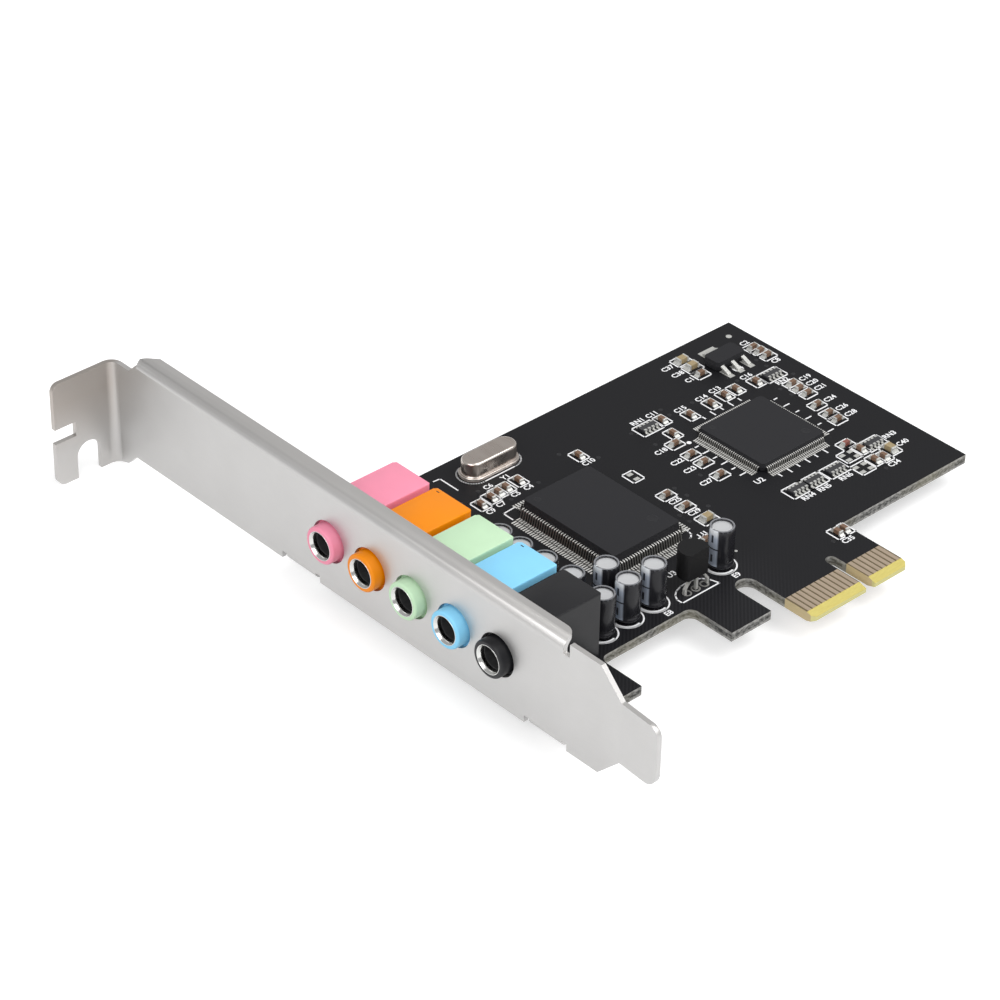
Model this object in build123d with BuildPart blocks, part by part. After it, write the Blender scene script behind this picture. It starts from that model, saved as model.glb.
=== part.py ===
import os

from build123d import *

# Sound card for a computer expansion slot, in millimetres.
# X runs along the bracket and points into the slot, Y runs along the board away from the bracket
# and Z points up from the component side. The origin is the middle of the key slot at the tip of
# the edge connector, on the component side.

# Board
board_thickness = 1.6
body_height = 51.2
tip_to_lower_edge = 13.3
key_to_far_edge = 36.1
key_to_bracket = 58.3
board_clearance = 0.1
corner_past_screw = 2.9
corner_reach = 15.9
inner_corner_radius = 1.5

# Edge connector
finger_corner = 0.6
key_width = 1.9
key_depth = 8.8
bevel_length = 1.4
bevel_depth = 0.45
hook_width = 8.1
hook_gap = 3.7
hook_end_gap = 5.0
hook_slot_depth = 13.4

# Edge contacts
contact_pitch = 1.0
contacts_before_key = 11
contacts_after_key = 7
contact_width = 0.7
contact_to_key = 0.2
contact_to_side = 0.3
contact_thickness = 0.05
contact_length = 4.3

# Bracket sheet and its screw tab
sheet = 0.8
bracket_width = 18.4
tab_to_tip = 105.5
tab_drop = 3.05
tab_depth = 11.43
tab_bend_radius = 1.3
tab_upper_radius = 1.4
tab_lower_radius = 1.7
neck_start = 3.7
neck_end = 5.75
neck_rise = 0.9
notch_start = 4.8
notch_rise = 1.95
side_slot_height = 2.6
side_slot_depth = 3.9
side_slot_rise = 7.8
screw_notch_width = 4.4
screw_notch_height = 6.0
screw_notch_from_face = 5.3

# Flange along the upper edge of the bracket
flange_start = 6.8
flange_past_lug = 3.1
flange_reach = 2.85
flange_bend_radius = 1.0
flange_land = 0.4
flange_end_radius = 2.2
flange_slant_length = 1.6
flange_tip_length = 0.8
flange_tip_depth = 0.75
relief_width = 1.3

# Tongue at the lower end of the bracket
plain_edge = 6.1
shoulder = 4.1
tongue_length = 7.5
tongue_upper_radius = 1.7
tongue_lower_radius = 2.5
tongue_set = 0.5

# Lugs that carry the board
lug_width = 6.5
lug_depth = 8.6
lug_corner = 1.3
lug_bend_radius = 0.4
lug_root = 1.0
lug_relief_width = 1.05
lug_from_top = 4.3
lug_to_first_jack = 6.4
last_jack_to_lug = 10.0

# Screws that hold the board to the lugs
screw_from_face = 5.0
screw_radius = 1.25
screw_head_radius = 2.0
screw_head_height = 1.5
screw_stub = 0.9
screw_clearance = 0.15

# Jacks
jack_names = ["pink", "orange", "green", "blue", "black"]
jack_pitch = 9.05
jack_height = 6.1
barrel_radius = 3.0
barrel_reach = 1.75
barrel_clearance = 0.45
housing_gap = 0.85
housing_back = 16.1
housing_height = 11.3
housing_corner = 0.2
housing_step_width = 0.6
housing_step_depth = 0.4
housing_clearance = 0.05
socket_radius = 1.8
socket_depth = 13.0

# Audio chip
audio_below_middle = 2.25
audio_from_bracket = 38.65
audio_thickness = 2.7
audio_standoff = 0.25
audio_leads_along = 38
audio_leads_across = 26
audio_lead_pitch = 0.5
audio_corner_land = 0.75
audio_lead_width = 0.22
audio_lead_thickness = 0.16
audio_lead_reach = 1.6

# Bridge chip
bridge_below_middle = 1.45
bridge_from_far_edge = 20.4
bridge_thickness = 1.4
bridge_standoff = 0.1
bridge_leads_a_side = 32
bridge_lead_pitch = 0.4
bridge_corner_land = 0.8
bridge_lead_width = 0.18
bridge_lead_thickness = 0.13
bridge_lead_reach = 1.0

# Moulded bodies
mould_draft = 8.0
mould_corner = 0.5

# Crystal
crystal_below_top = 5.1
crystal_from_bracket = 36.75
crystal_length = 11.0
crystal_width = 4.6
crystal_base_thickness = 0.6
crystal_lip = 0.4
crystal_can_height = 2.5

# Electrolytic capacitors in rows behind the jacks: the gap behind the row before, then for each can
# the gap from the can before it, starting at the lower edge of the board, and its offset in the row
capacitor_rows = [
    (2.1, [(2.1, 0.0), (2.5, 0.2), (1.3, -0.2), (0.8, -0.6), (0.4, -0.6)]),
    (1.3, [(2.3, 0.0), (0.8, 0.3)]),
    (1.4, [(2.5, 0.0)]),
    (10.1, [(2.6, 0.0)]),
]
capacitor_radius = 2.0
capacitor_height = 7.2

# Three-legged regulator
regulator_from_edge = 2.8
regulator_from_bracket = 38.1
regulator_radius = 2.35
regulator_flat = 1.35
regulator_lean = 0.9
regulator_bottom = 2.3
regulator_height = 4.6
regulator_leg_pitch = 1.27
regulator_hole_pitch = 2.3
regulator_leg_width = 0.45
regulator_leg_drop = 1.3

# Power regulator
power_below_top = 7.8
power_from_far_edge = 9.0
power_length = 6.5
power_width = 3.5
power_thickness = 1.6
power_standoff = 0.05
power_lead_pitch = 2.3
power_lead_count = 3
power_lead_width = 0.7
power_tab_width = 3.0
power_lead_thickness = 0.26
power_lead_reach = 1.75

# Chip components
chip_length = 1.6
chip_width = 0.8
chip_height = 0.75
large_chip_length = 2.0
large_chip_width = 1.25
large_chip_height = 0.9
array_length = 3.2
array_width = 1.6
array_height = 0.55
array_gap = 0.3

# Places of the chip components below the middle of the board, in from the bracket
near_chips_along = [(-13.6, 28.9), (-14.0, 31.3), (-14.3, 33.0), (-14.5, 34.8), (-14.6, 37.5), (-13.5, 49.1)]
near_chips_across = [(3.0, 51.7), (7.0, 51.8), (15.3, 47.8)]
near_large_chips_across = [(11.4, 52.0)]

# Places below the middle of the board, in from the far edge
far_chips_along = [
    (-10.7, 13.6),
    (-10.6, 16.2),
    (-10.3, 19.5),
    (-10.2, 24.3),
    (-12.1, 28.7),
    (-8.2, 30.1),
    (-10.1, 9.6),
    (13.9, 11.3),
    (17.4, 11.8),
    (17.7, 10.1),
]
far_chips_across = [
    (-6.0, 31.9),
    (-2.3, 32.1),
    (0.5, 32.1),
    (4.5, 32.6),
    (-5.9, 5.7),
    (-4.2, 5.9),
    (-2.4, 5.9),
    (0.9, 7.2),
    (3.8, 7.6),
    (5.9, 7.8),
    (11.5, 12.0),
]
far_large_chips_along = [(16.9, 7.8)]
far_arrays = [(-12.0, 31.8), (-9.9, 6.2), (15.2, 18.4), (14.1, 8.6)]
far_array_pair = (15.1, 24.85)

# Places below the upper edge of the board, in from the far edge, and places beside the key
top_chips_across = [(8.1, 2.7), (9.6, 2.6), (11.2, 2.6), (8.1, 14.6)]
top_large_chips_across = [(3.4, 14.2), (5.7, 14.2)]
key_chips_along = [(-12.0, 5.7), (-12.0, 7.1)]

# Places that follow from these sizes
board_lower = -tip_to_lower_edge
board_top = board_lower - body_height
board_middle = (board_top + board_lower) / 2
board_far = key_to_far_edge
bracket_front = -key_to_bracket
bracket_rear = bracket_front + sheet
board_near = bracket_rear + lug_bend_radius + board_clearance
tab_face = -tab_to_tip
bracket_low = -board_thickness - sheet
bracket_high = bracket_low + bracket_width
tab_low = bracket_low - tab_drop
tab_high = bracket_high - tab_drop
tab_end = bracket_front - tab_depth
first_lug = board_top + lug_from_top
first_jack = first_lug + lug_to_first_jack
jack_places = [first_jack + jack_pitch * number for number in range(len(jack_names))]
last_lug = jack_places[-1] + last_jack_to_lug
lug_places = [first_lug, last_lug]
corner_end = last_lug + corner_past_screw
flange_first = tab_face + flange_start
flange_last = last_lug + flange_past_lug
flange_root = flange_bend_radius + sheet + flange_land
relief_last = flange_last + relief_width
shoulder_start = relief_last + plain_edge
tongue_start = shoulder_start + shoulder
bracket_end = tongue_start + tongue_length
screw_place = bracket_front + screw_from_face
housing_front = bracket_rear + housing_clearance
housing_width = jack_pitch - housing_gap
board_bottom = -board_thickness
first_contact = key_width / 2 + contact_to_key + contact_width / 2
finger_land = contact_width / 2 + contact_to_side
finger_before_key = first_contact + contact_pitch * (contacts_before_key - 1) + finger_land
finger_after_key = first_contact + contact_pitch * (contacts_after_key - 1) + finger_land
beyond = bracket_end - tab_face

os.makedirs("parts", exist_ok=True)


def save(piece, name):
    piece.part.label = name
    export_step(piece.part, f"parts/{name}.step")


def corner(sketch, across, up):
    return sketch.vertices().sort_by_distance((across, up, 0))[0]


# Flange: the upper edge of the sheet rolled back over the board, with its ends trimmed in plan
with BuildPart() as flange:
    with BuildSketch(Plane.YZ.offset(flange_first)) as flange_section:
        with BuildLine():
            Polyline(
                (bracket_front, bracket_high - flange_root),
                (bracket_front, bracket_high),
                (bracket_front + flange_reach, bracket_high),
                (bracket_front + flange_reach, bracket_high - sheet),
                (bracket_rear, bracket_high - sheet),
                (bracket_rear, bracket_high - flange_root),
                close=True,
            )
        make_face()
        fillet(corner(flange_section, bracket_front, bracket_high), flange_bend_radius + sheet)
        fillet(corner(flange_section, bracket_rear, bracket_high - sheet), flange_bend_radius)
    extrude(amount=flange_last - flange_first)
    with BuildSketch(Plane.XY.offset(bracket_high)) as flange_plan:
        with BuildLine():
            Polyline(
                (flange_first, bracket_front),
                (flange_first, bracket_rear),
                (flange_first + flange_slant_length, bracket_front + flange_reach - flange_tip_depth),
                (flange_first + flange_slant_length + flange_tip_length, bracket_front + flange_reach),
                (flange_last, bracket_front + flange_reach),
                (flange_last, bracket_front),
                close=True,
            )
        make_face()
        fillet(corner(flange_plan, flange_last, bracket_front + flange_reach), flange_end_radius)
    extrude(amount=-flange_root, mode=Mode.INTERSECT)

# Lug: a strip of the lower edge folded back under the board, drilled for the screw
with BuildPart() as lug:
    with BuildSketch(Plane.YZ.offset(-lug_width / 2)) as lug_section:
        with BuildLine():
            Polyline(
                (bracket_front, board_bottom + lug_bend_radius + lug_root),
                (bracket_front, bracket_low),
                (bracket_front + lug_depth, bracket_low),
                (bracket_front + lug_depth, board_bottom),
                (bracket_rear, board_bottom),
                (bracket_rear, board_bottom + lug_bend_radius + lug_root),
                close=True,
            )
        make_face()
        fillet(corner(lug_section, bracket_front, bracket_low), lug_bend_radius + sheet)
        fillet(corner(lug_section, bracket_rear, board_bottom), lug_bend_radius)
    extrude(amount=lug_width)
    chamfer(lug.edges().filter_by(Axis.Z).group_by(Axis.Y)[-1], lug_corner)
    with Locations((0, screw_place, board_bottom)):
        Hole(screw_radius + screw_clearance)

# Bracket: tab, face and tongue bent from one strip, trimmed to its outline, then flange and lugs
with BuildPart() as bracket:
    with BuildSketch(Plane.XY.offset(tab_low)) as bracket_side:
        with BuildLine():
            Polyline(
                (tab_face, tab_end),
                (tab_face, bracket_rear),
                (tongue_start, bracket_rear),
                (bracket_end, bracket_rear - tongue_set),
                (bracket_end, bracket_front - tongue_set),
                (tongue_start, bracket_front),
                (tab_face + sheet, bracket_front),
                (tab_face + sheet, tab_end),
                close=True,
            )
        make_face()
        fillet(corner(bracket_side, tab_face, bracket_rear), tab_bend_radius + sheet)
        fillet(corner(bracket_side, tab_face + sheet, bracket_front), tab_bend_radius)
    extrude(amount=bracket_width + tab_drop)
    with BuildSketch(Plane.XZ) as bracket_outline:
        with BuildLine():
            Polyline(
                (tab_face, tab_low),
                (tab_face, tab_high),
                (tab_face + notch_start, tab_high),
                (flange_first, tab_high + notch_rise),
                (flange_first, bracket_high - flange_root),
                (relief_last, bracket_high - flange_root),
                (relief_last, bracket_high),
                (shoulder_start, bracket_high),
                (tongue_start, bracket_high - shoulder),
                (bracket_end, bracket_high - shoulder),
                (bracket_end, bracket_low + shoulder),
                (tongue_start, bracket_low + shoulder),
                (shoulder_start, bracket_low),
                (tab_face + neck_end, bracket_low),
                (tab_face + neck_start, tab_low + neck_rise),
                (tab_face + sheet, tab_low),
                close=True,
            )
        make_face()
        fillet(corner(bracket_outline, bracket_end, bracket_high - shoulder), tongue_upper_radius)
        fillet(corner(bracket_outline, bracket_end, bracket_low + shoulder), tongue_lower_radius)
        with Locations([(place, bracket_low) for place in lug_places]):
            Rectangle(lug_width + 2 * lug_relief_width, 2 * (sheet + lug_bend_radius), mode=Mode.SUBTRACT)
        with Locations([(place, jack_height) for place in jack_places]):
            Circle(barrel_radius + barrel_clearance, mode=Mode.SUBTRACT)
    extrude(amount=beyond, both=True, mode=Mode.INTERSECT)
    tab_edges = bracket.edges().filter_by(Axis.X)
    fillet(tab_edges.sort_by_distance((tab_face, tab_end, tab_high))[0], tab_upper_radius)
    tab_edges = bracket.edges().filter_by(Axis.X)
    fillet(tab_edges.sort_by_distance((tab_face, tab_end, tab_low))[0], tab_lower_radius)
    with BuildSketch(Plane.YZ.offset(tab_face)):
        with Locations((tab_end, tab_low + side_slot_rise)):
            Rectangle(side_slot_depth, side_slot_height, align=(Align.MIN, Align.MIN))
        with Locations((bracket_front - screw_notch_from_face, tab_low)):
            SlotOverall(2 * screw_notch_height, screw_notch_width, rotation=90)
    extrude(amount=sheet, mode=Mode.SUBTRACT)
    add(flange.part)
    with Locations([(place, 0, 0) for place in lug_places]):
        add(lug.part)
save(bracket, "bracket")

# Bracket screws: pan heads on the board, shanks through the board and the lugs
with BuildPart() as bracket_screws:
    with BuildSketch(Plane.XY):
        with Locations([(place, screw_place) for place in lug_places]):
            Circle(screw_head_radius)
    extrude(amount=screw_head_height)
    with BuildSketch(Plane.XY):
        with Locations([(place, screw_place) for place in lug_places]):
            Circle(screw_radius)
    extrude(amount=bracket_low - screw_stub)
save(bracket_screws, "bracket_screws")

# Board: body, bracket corner, retaining hook and keyed edge connector, drilled for the screws
with BuildPart() as circuit_board:
    with BuildSketch(Plane.XY.offset(board_bottom)) as board_outline:
        with BuildLine():
            Polyline(
                (board_top, board_near),
                (board_top, board_far),
                (board_lower, board_far),
                (board_lower, finger_after_key),
                (0, finger_after_key),
                (0, -finger_before_key),
                (-hook_end_gap, -finger_before_key),
                (-hook_end_gap, -finger_before_key - hook_gap - hook_width),
                (board_lower, -finger_before_key - hook_gap - hook_width),
                (board_lower, bracket_front + corner_reach),
                (corner_end, bracket_front + corner_reach),
                (corner_end, board_near),
                close=True,
            )
        make_face()
        hook_corner = corner(board_outline, board_lower, -finger_before_key - hook_gap - hook_width)
        bracket_corner = corner(board_outline, board_lower, bracket_front + corner_reach)
        fillet([hook_corner, bracket_corner], inner_corner_radius)
        finger_corners = [corner(board_outline, 0, end) for end in (finger_after_key, -finger_before_key)]
        chamfer(finger_corners, finger_corner)
        SlotOverall(2 * key_depth, key_width, mode=Mode.SUBTRACT)
        with Locations((0, -finger_before_key - hook_gap / 2)):
            SlotOverall(2 * hook_slot_depth, hook_gap, mode=Mode.SUBTRACT)
        with Locations([(place, screw_place) for place in lug_places]):
            Circle(screw_radius + screw_clearance, mode=Mode.SUBTRACT)
    extrude(amount=board_thickness)
    with BuildSketch(Plane.XZ):
        for face, inward in ((0, -bevel_depth), (board_bottom, bevel_depth)):
            with BuildLine():
                Polyline((0, face), (-bevel_length, face), (0, face + inward), close=True)
            make_face()
    extrude(amount=finger_before_key + hook_gap, both=True, mode=Mode.SUBTRACT)
save(circuit_board, "circuit_board")

# Edge contacts: plated pads on both sides of the edge connector
contacts_before = [-first_contact - contact_pitch * number for number in range(contacts_before_key)]
contacts_after = [first_contact + contact_pitch * number for number in range(contacts_after_key)]
contact_spots = [(-bevel_length - contact_length / 2, place) for place in contacts_before + contacts_after]
with BuildPart() as edge_contacts:
    with BuildSketch(Plane.XY):
        with Locations(contact_spots):
            Rectangle(contact_length, contact_width)
    extrude(amount=contact_thickness)
    with BuildSketch(Plane.XY.offset(board_bottom)):
        with Locations(contact_spots):
            Rectangle(contact_length, contact_width)
    extrude(amount=-contact_thickness)
save(edge_contacts, "edge_contacts")

# Jacks: moulded housing with its barrel through the bracket and the bore for the plug
for name, place in zip(jack_names, jack_places):
    with BuildPart() as jack_housing:
        with BuildSketch(Plane.XY) as housing_plan:
            with Locations((place, housing_front)):
                Rectangle(
                    housing_width,
                    bracket_front + housing_back - housing_front,
                    align=(Align.CENTER, Align.MIN),
                )
            chamfer(housing_plan.vertices().group_by(Axis.Y)[-1], housing_corner)
        extrude(amount=housing_height)
        with BuildSketch(Plane.XZ.offset(-housing_front)):
            with Locations((place - housing_width / 2, housing_height)):
                Rectangle(housing_step_width, housing_step_depth, align=(Align.MIN, Align.MAX))
        extrude(amount=-housing_back, mode=Mode.SUBTRACT)
        with BuildSketch(Plane.XZ.offset(-housing_front)):
            with Locations((place, jack_height)):
                Circle(barrel_radius)
        extrude(amount=housing_front - bracket_front + barrel_reach)
        with BuildSketch(Plane.XZ.offset(barrel_reach - bracket_front)):
            with Locations((place, jack_height)):
                Circle(socket_radius)
        extrude(amount=-socket_depth, mode=Mode.SUBTRACT)
    save(jack_housing, f"{name}_jack_housing")


def moulded_body(centre, length, width, bottom, thickness):
    parting = bottom + thickness / 2
    with BuildPart() as body:
        with BuildSketch(Plane.XY.offset(parting)) as middle:
            with Locations(centre):
                Rectangle(length, width)
            chamfer(middle.vertices(), mould_corner)
        extrude(amount=thickness / 2, taper=mould_draft)
        extrude(middle.sketch, amount=-thickness / 2, taper=mould_draft)
    return body


def lead_planes(centre, outward, half_size, count, pitch):
    along = outward.cross(Vector(0, 0, 1))
    first = Vector(*centre) + outward * half_size - along * pitch * (count - 1) / 2
    return [Plane(first + along * pitch * number, x_dir=outward, z_dir=along) for number in range(count)]


def leads_on(planes, width, thickness, exit_height, reach):
    with BuildPart() as leads:
        with BuildSketch(*planes):
            with BuildLine():
                Polyline(
                    (0, exit_height + thickness / 2),
                    (reach, thickness),
                    (reach, 0),
                    (0, exit_height - thickness / 2),
                    close=True,
                )
            make_face()
        extrude(amount=width / 2, both=True)
    return leads


# Audio chip: moulded body with a row of sloping leads on each side
audio_length = audio_lead_pitch * (audio_leads_along - 1) + 2 * audio_corner_land
audio_width = audio_lead_pitch * (audio_leads_across - 1) + 2 * audio_corner_land
audio_centre = (board_middle + audio_below_middle, bracket_front + audio_from_bracket)
audio_body = moulded_body(audio_centre, audio_length, audio_width, audio_standoff, audio_thickness)
save(audio_body, "audio_chip_body")
audio_planes = [
    plane
    for outward, half_size, count in (
        (Vector(1, 0, 0), audio_length / 2, audio_leads_across),
        (Vector(-1, 0, 0), audio_length / 2, audio_leads_across),
        (Vector(0, 1, 0), audio_width / 2, audio_leads_along),
        (Vector(0, -1, 0), audio_width / 2, audio_leads_along),
    )
    for plane in lead_planes(audio_centre, outward, half_size, count, audio_lead_pitch)
]
audio_leads = leads_on(
    audio_planes,
    audio_lead_width,
    audio_lead_thickness,
    audio_standoff + audio_thickness / 2,
    audio_lead_reach,
)
save(audio_leads, "audio_chip_leads")

# Bridge chip: the same kind of package, square and thinner
bridge_size = bridge_lead_pitch * (bridge_leads_a_side - 1) + 2 * bridge_corner_land
bridge_centre = (board_middle + bridge_below_middle, board_far - bridge_from_far_edge)
bridge_body = moulded_body(bridge_centre, bridge_size, bridge_size, bridge_standoff, bridge_thickness)
save(bridge_body, "bridge_chip_body")
bridge_sides = [Vector(1, 0, 0), Vector(-1, 0, 0), Vector(0, 1, 0), Vector(0, -1, 0)]
bridge_planes = [
    plane
    for outward in bridge_sides
    for plane in lead_planes(bridge_centre, outward, bridge_size / 2, bridge_leads_a_side, bridge_lead_pitch)
]
bridge_leads = leads_on(
    bridge_planes,
    bridge_lead_width,
    bridge_lead_thickness,
    bridge_standoff + bridge_thickness / 2,
    bridge_lead_reach,
)
save(bridge_leads, "bridge_chip_leads")

# Crystal: drawn can on the flange of its base
with BuildPart() as crystal:
    with BuildSketch(Plane.XY):
        with Locations((board_top + crystal_below_top, bracket_front + crystal_from_bracket)):
            SlotOverall(crystal_length, crystal_width, rotation=90)
    extrude(amount=crystal_base_thickness)
    with BuildSketch(Plane.XY.offset(crystal_base_thickness)):
        with Locations((board_top + crystal_below_top, bracket_front + crystal_from_bracket)):
            SlotOverall(crystal_length - 2 * crystal_lip, crystal_width - 2 * crystal_lip, rotation=90)
    extrude(amount=crystal_can_height)
save(crystal, "crystal")

# Electrolytic capacitors: sleeved cans standing on the board, row by row from the jacks
capacitor_places = []
row_start = bracket_front + housing_back
for row_gap, cans in capacitor_rows:
    row_middle = row_start + row_gap + capacitor_radius
    can_start = board_lower
    for can_gap, offset in cans:
        capacitor_places.append((can_start - can_gap - capacitor_radius, row_middle + offset))
        can_start = can_start - can_gap - 2 * capacitor_radius
    row_start = row_middle + capacitor_radius
for number, spot in enumerate(capacitor_places, start=1):
    with BuildPart() as capacitor:
        with BuildSketch(Plane.XY):
            with Locations(spot):
                Circle(capacitor_radius)
        extrude(amount=capacitor_height)
    save(capacitor, f"capacitor_{number}")

# Three-legged regulator: half-round body standing on legs that spread to the board
regulator_x = board_lower - regulator_from_edge
regulator_y = bracket_front + regulator_from_bracket
with BuildPart() as regulator_body:
    with BuildSketch(Plane.XY.offset(regulator_bottom)):
        with Locations((regulator_x - regulator_lean, regulator_y)):
            Circle(regulator_radius)
        with Locations((regulator_x - regulator_lean + regulator_flat, regulator_y)):
            Rectangle(
                regulator_radius,
                2 * regulator_radius,
                align=(Align.MIN, Align.CENTER),
                mode=Mode.SUBTRACT,
            )
    extrude(amount=regulator_height)
save(regulator_body, "regulator_body")

with BuildPart() as regulator_legs:
    with BuildSketch(Plane.YZ.offset(regulator_x)):
        for side in (-1, 0, 1):
            at_body = regulator_y + side * regulator_leg_pitch
            at_board = regulator_y + side * regulator_hole_pitch
            with BuildLine():
                Polyline(
                    (at_body - regulator_leg_width / 2, regulator_bottom),
                    (at_body + regulator_leg_width / 2, regulator_bottom),
                    (at_board + regulator_leg_width / 2, regulator_bottom - regulator_leg_drop),
                    (at_board + regulator_leg_width / 2, 0),
                    (at_board - regulator_leg_width / 2, 0),
                    (at_board - regulator_leg_width / 2, regulator_bottom - regulator_leg_drop),
                    close=True,
                )
            make_face()
    extrude(amount=regulator_leg_width / 2, both=True)
save(regulator_legs, "regulator_legs")

# Power regulator: flat moulded body with three leads and a broad tab
power_centre = (board_top + power_below_top, board_far - power_from_far_edge)
power_body = moulded_body(power_centre, power_width, power_length, power_standoff, power_thickness)
save(power_body, "power_regulator_body")
power_lead_planes = lead_planes(
    power_centre, Vector(1, 0, 0), power_width / 2, power_lead_count, power_lead_pitch
)
power_tab_planes = lead_planes(power_centre, Vector(-1, 0, 0), power_width / 2, 1, power_lead_pitch)
power_leads = leads_on(
    power_lead_planes,
    power_lead_width,
    power_lead_thickness,
    power_standoff + power_thickness / 2,
    power_lead_reach,
)
save(power_leads, "power_regulator_leads")
power_tab = leads_on(
    power_tab_planes,
    power_tab_width,
    power_lead_thickness,
    power_standoff + power_thickness / 2,
    power_lead_reach,
)
save(power_tab, "power_regulator_tab")


def by_bracket(spots):
    return [(board_middle + below, bracket_front + inward) for below, inward in spots]


def by_far_edge(spots):
    return [(board_middle + below, board_far - inward) for below, inward in spots]


def by_top(spots):
    return [(board_top + below, board_far - inward) for below, inward in spots]


# Chip components: small and large capacitors and resistor arrays lying flat on the board
chips_along = by_bracket(near_chips_along) + by_far_edge(far_chips_along) + key_chips_along
chips_across = by_bracket(near_chips_across) + by_far_edge(far_chips_across) + by_top(top_chips_across)
large_chips_along = by_far_edge(far_large_chips_along)
large_chips_across = by_bracket(near_large_chips_across) + by_top(top_large_chips_across)
pair_below, pair_inward = far_array_pair
array_step = (array_length + array_gap) / 2
array_pair = [(pair_below, pair_inward - array_step), (pair_below, pair_inward + array_step)]
array_places = by_far_edge(far_arrays + array_pair)
with BuildPart() as chip_capacitors:
    with BuildSketch(Plane.XY):
        with Locations(chips_along):
            Rectangle(chip_length, chip_width)
        with Locations(chips_across):
            Rectangle(chip_width, chip_length)
    extrude(amount=chip_height)
save(chip_capacitors, "chip_capacitors")

with BuildPart() as large_chip_capacitors:
    with BuildSketch(Plane.XY):
        with Locations(large_chips_along):
            Rectangle(large_chip_length, large_chip_width)
        with Locations(large_chips_across):
            Rectangle(large_chip_width, large_chip_length)
    extrude(amount=large_chip_height)
save(large_chip_capacitors, "large_chip_capacitors")

with BuildPart() as resistor_arrays:
    with BuildSketch(Plane.XY):
        with Locations(array_places):
            Rectangle(array_width, array_length)
    extrude(amount=array_height)
save(resistor_arrays, "resistor_arrays")
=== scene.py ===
import math
import random

import bmesh
import bpy
from mathutils import Matrix, Vector


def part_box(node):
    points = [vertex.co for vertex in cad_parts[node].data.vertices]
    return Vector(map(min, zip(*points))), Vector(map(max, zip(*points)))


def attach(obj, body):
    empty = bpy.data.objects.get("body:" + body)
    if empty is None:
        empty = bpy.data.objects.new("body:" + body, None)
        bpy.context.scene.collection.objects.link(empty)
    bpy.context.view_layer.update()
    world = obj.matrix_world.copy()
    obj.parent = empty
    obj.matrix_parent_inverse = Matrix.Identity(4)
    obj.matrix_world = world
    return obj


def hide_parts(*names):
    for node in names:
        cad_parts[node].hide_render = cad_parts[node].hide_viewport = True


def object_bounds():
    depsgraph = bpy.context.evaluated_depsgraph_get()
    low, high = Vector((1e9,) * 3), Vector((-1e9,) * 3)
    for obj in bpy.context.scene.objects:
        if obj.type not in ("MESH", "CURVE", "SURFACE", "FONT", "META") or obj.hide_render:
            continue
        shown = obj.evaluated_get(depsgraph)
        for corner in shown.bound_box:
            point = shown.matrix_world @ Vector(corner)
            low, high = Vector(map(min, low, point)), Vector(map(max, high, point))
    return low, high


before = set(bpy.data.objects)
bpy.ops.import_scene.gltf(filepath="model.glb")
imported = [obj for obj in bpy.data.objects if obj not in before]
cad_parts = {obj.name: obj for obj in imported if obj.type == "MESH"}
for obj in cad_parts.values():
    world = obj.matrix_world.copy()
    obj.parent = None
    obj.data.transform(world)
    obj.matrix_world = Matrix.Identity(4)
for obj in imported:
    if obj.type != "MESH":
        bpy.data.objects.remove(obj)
cad_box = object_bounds()


# ---- White sheet, lights and camera ----------------------
# The card lies level on a sheet of white paper and rests on the lowest edge of its bracket.
# One soft box hangs over it, one stands in front of the jacks and a weak one beside the gold
# contacts, with a pale room all round, as for a shop's picture.
MM = 0.001


class Wire:
    """A shader socket that can be used in sums."""

    def __init__(self, tree, socket=None):
        self.tree = tree
        self.socket = socket

    def node(self, kind, sockets=(), output=0, **settings):
        """Adds a node: its settings first, then the values or links of its sockets."""
        made = self.tree.nodes.new("ShaderNode" + kind)
        for name, value in settings.items():
            setattr(made, name, value)
        for key, value in dict(sockets).items():
            if isinstance(value, Wire):
                value.feed(made.inputs[key])
            else:
                made.inputs[key].default_value = value
        return Wire(self.tree, made.outputs[output])

    def feed(self, target):
        self.tree.links.new(self.socket, target)

    def sum(self, operation, first, second=0.0):
        return self.node("Math", {0: first, 1: second}, operation=operation)

    def __add__(self, other):
        return self.sum("ADD", self, other)

    def __sub__(self, other):
        return self.sum("SUBTRACT", self, other)

    def __rsub__(self, other):
        return self.sum("SUBTRACT", other, self)

    def __mul__(self, other):
        return self.sum("MULTIPLY", self, other)

    def __gt__(self, other):
        return self.sum("GREATER_THAN", self, other)

    def __lt__(self, other):
        return self.sum("LESS_THAN", self, other)

    def __abs__(self):
        return self.sum("ABSOLUTE", self)

    __radd__ = __add__
    __rmul__ = __mul__

    def axis(self, letter):
        return self.node("SeparateXYZ", {0: self}, "XYZ".index(letter))

    def upward(self):
        """How far the surface faces up: 1 on top, 0 on a side and -1 underneath."""
        return self.node("NewGeometry", output="Normal").axis("Z")

    def stretch(self, x, y, z):
        return self.node("VectorMath", {0: self, 1: (x, y, z)}, operation="MULTIPLY")

    def noise(self, scale, detail=2.0):
        return self.node("TexNoise", {"Vector": self, "Scale": scale, "Detail": detail})

    def ramp(self, start, end, first=0.0, last=1.0):
        """Goes from first to last as this goes from start to end."""
        return self.node("MapRange", {0: self, 1: start, 2: end, 3: first, 4: last})

    def blend(self, first, second):
        """First colour where this is 0, second where it is 1."""
        return self.node("Mix", {0: self, 6: first, 7: second}, 2, data_type="RGBA")

    def bump(self, depth, strength=1.0):
        """The normal of a surface that this raises by depth millimetres."""
        return self.node("Bump", {"Height": self, "Distance": depth * MM, "Strength": strength})


def shade(red, green, blue):
    """A screen colour, 0 to 255, as Blender's linear colour."""
    parts = (part / 255 for part in (red, green, blue))
    return (*(((p + 0.055) / 1.055) ** 2.4 if p > 0.04 else p / 12.92 for p in parts), 1.0)


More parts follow.
